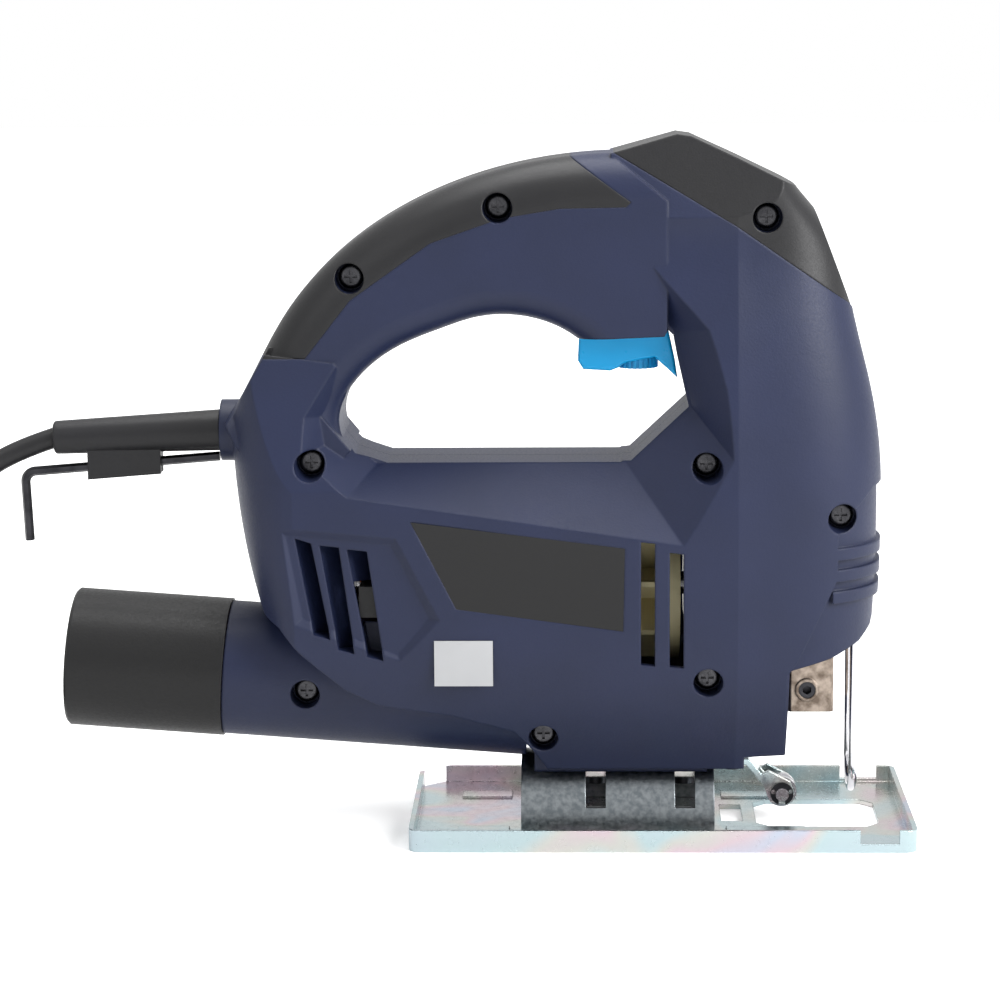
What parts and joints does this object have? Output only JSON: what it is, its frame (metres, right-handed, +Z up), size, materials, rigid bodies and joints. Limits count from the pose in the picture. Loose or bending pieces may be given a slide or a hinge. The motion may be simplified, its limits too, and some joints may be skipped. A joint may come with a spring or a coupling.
{
  "type": "jigsaw power tool",
  "caption": "Hand-held electric jigsaw: D-handle housing halves, motor and gear drive to a sliding blade clamp, tilting base, guide roller, wire guard, dust sleeve, hex key and mains cord.",
  "frame": {"origin": "middle of the base plate's underside", "axes": "+X towards the blade end, +Y to the tool's left, +Z up"},
  "size_m": [0.4319, 0.0987, 0.2087],
  "materials": {
    "housing_plastic": "fine spark-textured moulded polyamide",
    "grip_rubber": "soft moulded grip, matt",
    "trigger_plastic": "smooth moulded",
    "dial_plastic": "moulded",
    "adapter_plastic": "textured moulded",
    "inner_plastic": "moulded",
    "capacitor_plastic": "dipped",
    "label_film": "glossy film",
    "sticker_paper": "printed film, left blank",
    "zinc_steel": "zinc plated and passivated",
    "phosphated_steel": "phosphated",
    "sintered_steel": "sintered, oiled",
    "black_steel": "black oxide",
    "polished_wire": "bright drawn wire",
    "ground_steel": "ground",
    "gear_steel": "hardened",
    "bearing_steel": "ground",
    "spring_steel": "drawn",
    "screw_steel": "plated",
    "laminated_steel": "stacked sheet",
    "cast_aluminium": "die cast",
    "copper_wire": "enamelled copper",
    "brass": "drawn",
    "carbon": "pressed carbon",
    "cord_rubber": "matt extruded",
    "plug_rubber": "moulded",
    "lead_insulation": "extruded"
  },
  "bodies": {
    "tool": {"housing_right": "housing_plastic", "housing_left": "housing_plastic", "rear_grip_right": "grip_rubber", "rear_grip_left": "grip_rubber", "front_cap_right": "grip_rubber", "front_cap_left": "grip_rubber", "housing_screws": "screw_steel", "rating_plate": "label_film", "sticker": "sticker_paper", "field_core": "laminated_steel", "field_coils": "copper_wire", "rear_bearing": "bearing_steel", "front_bearing": "bearing_steel", "brush_holders": "brass", "carbon_brushes": "carbon", "brush_springs": "spring_steel", "gear_plate": "cast_aluminium", "gear_shaft": "ground_steel", "plunger_bushes": "brass", "roller_fork": "zinc_steel", "roller_pin": "ground_steel", "roller_clip": "spring_steel", "fork_screw": "screw_steel", "blade_guard": "polished_wire", "base_clamp_plate": "zinc_steel", "base_clamp_bolts": "black_steel", "switch_unit": "inner_plastic", "capacitor": "capacitor_plastic", "trigger_spring": "spring_steel", "cord_boot": "cord_rubber", "cord_inner": "cord_rubber", "cord_clamp": "inner_plastic", "cord_clamp_screws": "screw_steel", "internal_leads": "lead_insulation", "cord_run": "cord_rubber", "cord_coil": "cord_rubber", "cord_end": "cord_rubber", "plug_body": "plug_rubber", "plug_pins": "brass"},
    "motor": {"armature_shaft": "ground_steel", "armature_core": "laminated_steel", "armature_windings": "copper_wire", "commutator": "copper_wire", "cooling_fan": "inner_plastic"},
    "gear": {"drive_gear": "gear_steel", "crank_pin": "ground_steel"},
    "plunger": {"plunger": "ground_steel", "yoke": "gear_steel", "blade_clamp": "sintered_steel", "clamp_washer": "sintered_steel"},
    "clamp_screw": {"clamp_screw": "black_steel"},
    "base": {"base_plate": "zinc_steel", "tilt_bracket": "phosphated_steel"},
    "roller": {"guide_roller": "ground_steel"},
    "trigger": {"trigger": "trigger_plastic"},
    "speed_dial": {"speed_dial": "dial_plastic"},
    "lock_button": {"lock_button": "dial_plastic"},
    "adapter": {"dust_adapter": "adapter_plastic"},
    "key": {"hex_key": "black_steel"}
  },
  "joints": [
    {"name": "motor_spin", "type": "hinge", "parent": "tool", "child": "motor", "pos_m": [0, 0, 0.0735], "axis": [1, 0, 0], "continuous": true},
    {"name": "gear_spin", "type": "hinge", "parent": "tool", "child": "gear", "pos_m": [0, 0, 0.10282], "axis": [1, 0, 0], "continuous": true},
    {"name": "plunger_slide", "type": "slide", "parent": "tool", "child": "plunger", "axis": [0, 0, 1], "range_m": [-0.009, 0.009]},
    {"name": "clamp_screw_turn", "type": "hinge", "parent": "plunger", "child": "clamp_screw", "pos_m": [0.0441, 0, 0.0418], "axis": [0, 1, 0], "continuous": true},
    {"name": "base_tilt", "type": "hinge", "parent": "tool", "child": "base", "pos_m": [0, 0, 0.002], "axis": [1, 0, 0], "range_deg": [-45, 45]},
    {"name": "roller_spin", "type": "hinge", "parent": "tool", "child": "roller", "pos_m": [0.037, 0, 0.009], "axis": [0, 1, 0], "continuous": true},
    {"name": "trigger_press", "type": "slide", "parent": "tool", "child": "trigger", "axis": [-0.16, 0, 0.9871], "range_m": [0, 0.0055], "stiffness_N_per_m": 400, "springref_m": -0.005, "deforming": ["trigger_spring"]},
    {"name": "speed_dial_turn", "type": "hinge", "parent": "trigger", "child": "speed_dial", "pos_m": [-0.0069, 0, 0.144], "axis": [0, 0, 1], "range_deg": [0, 270]},
    {"name": "lock_button_press", "type": "slide", "parent": "tool", "child": "lock_button", "axis": [0, -1, 0], "range_m": [0, 0.003], "stiffness_N_per_m": 300, "springref_m": -0.003},
    {"name": "dust_adapter_pull", "type": "slide", "parent": "tool", "child": "adapter", "axis": [-0.9973, 0, 0.0732], "range_m": [0, 0.02]},
    {"name": "hex_key_pull", "type": "slide", "parent": "tool", "child": "key", "axis": [-0.9969, 0, -0.0793], "range_m": [0, 0.042]}
  ],
  "couplings": [
    {"joint": "gear_spin", "follows": "motor_spin", "ratio": -0.15}
  ]
}
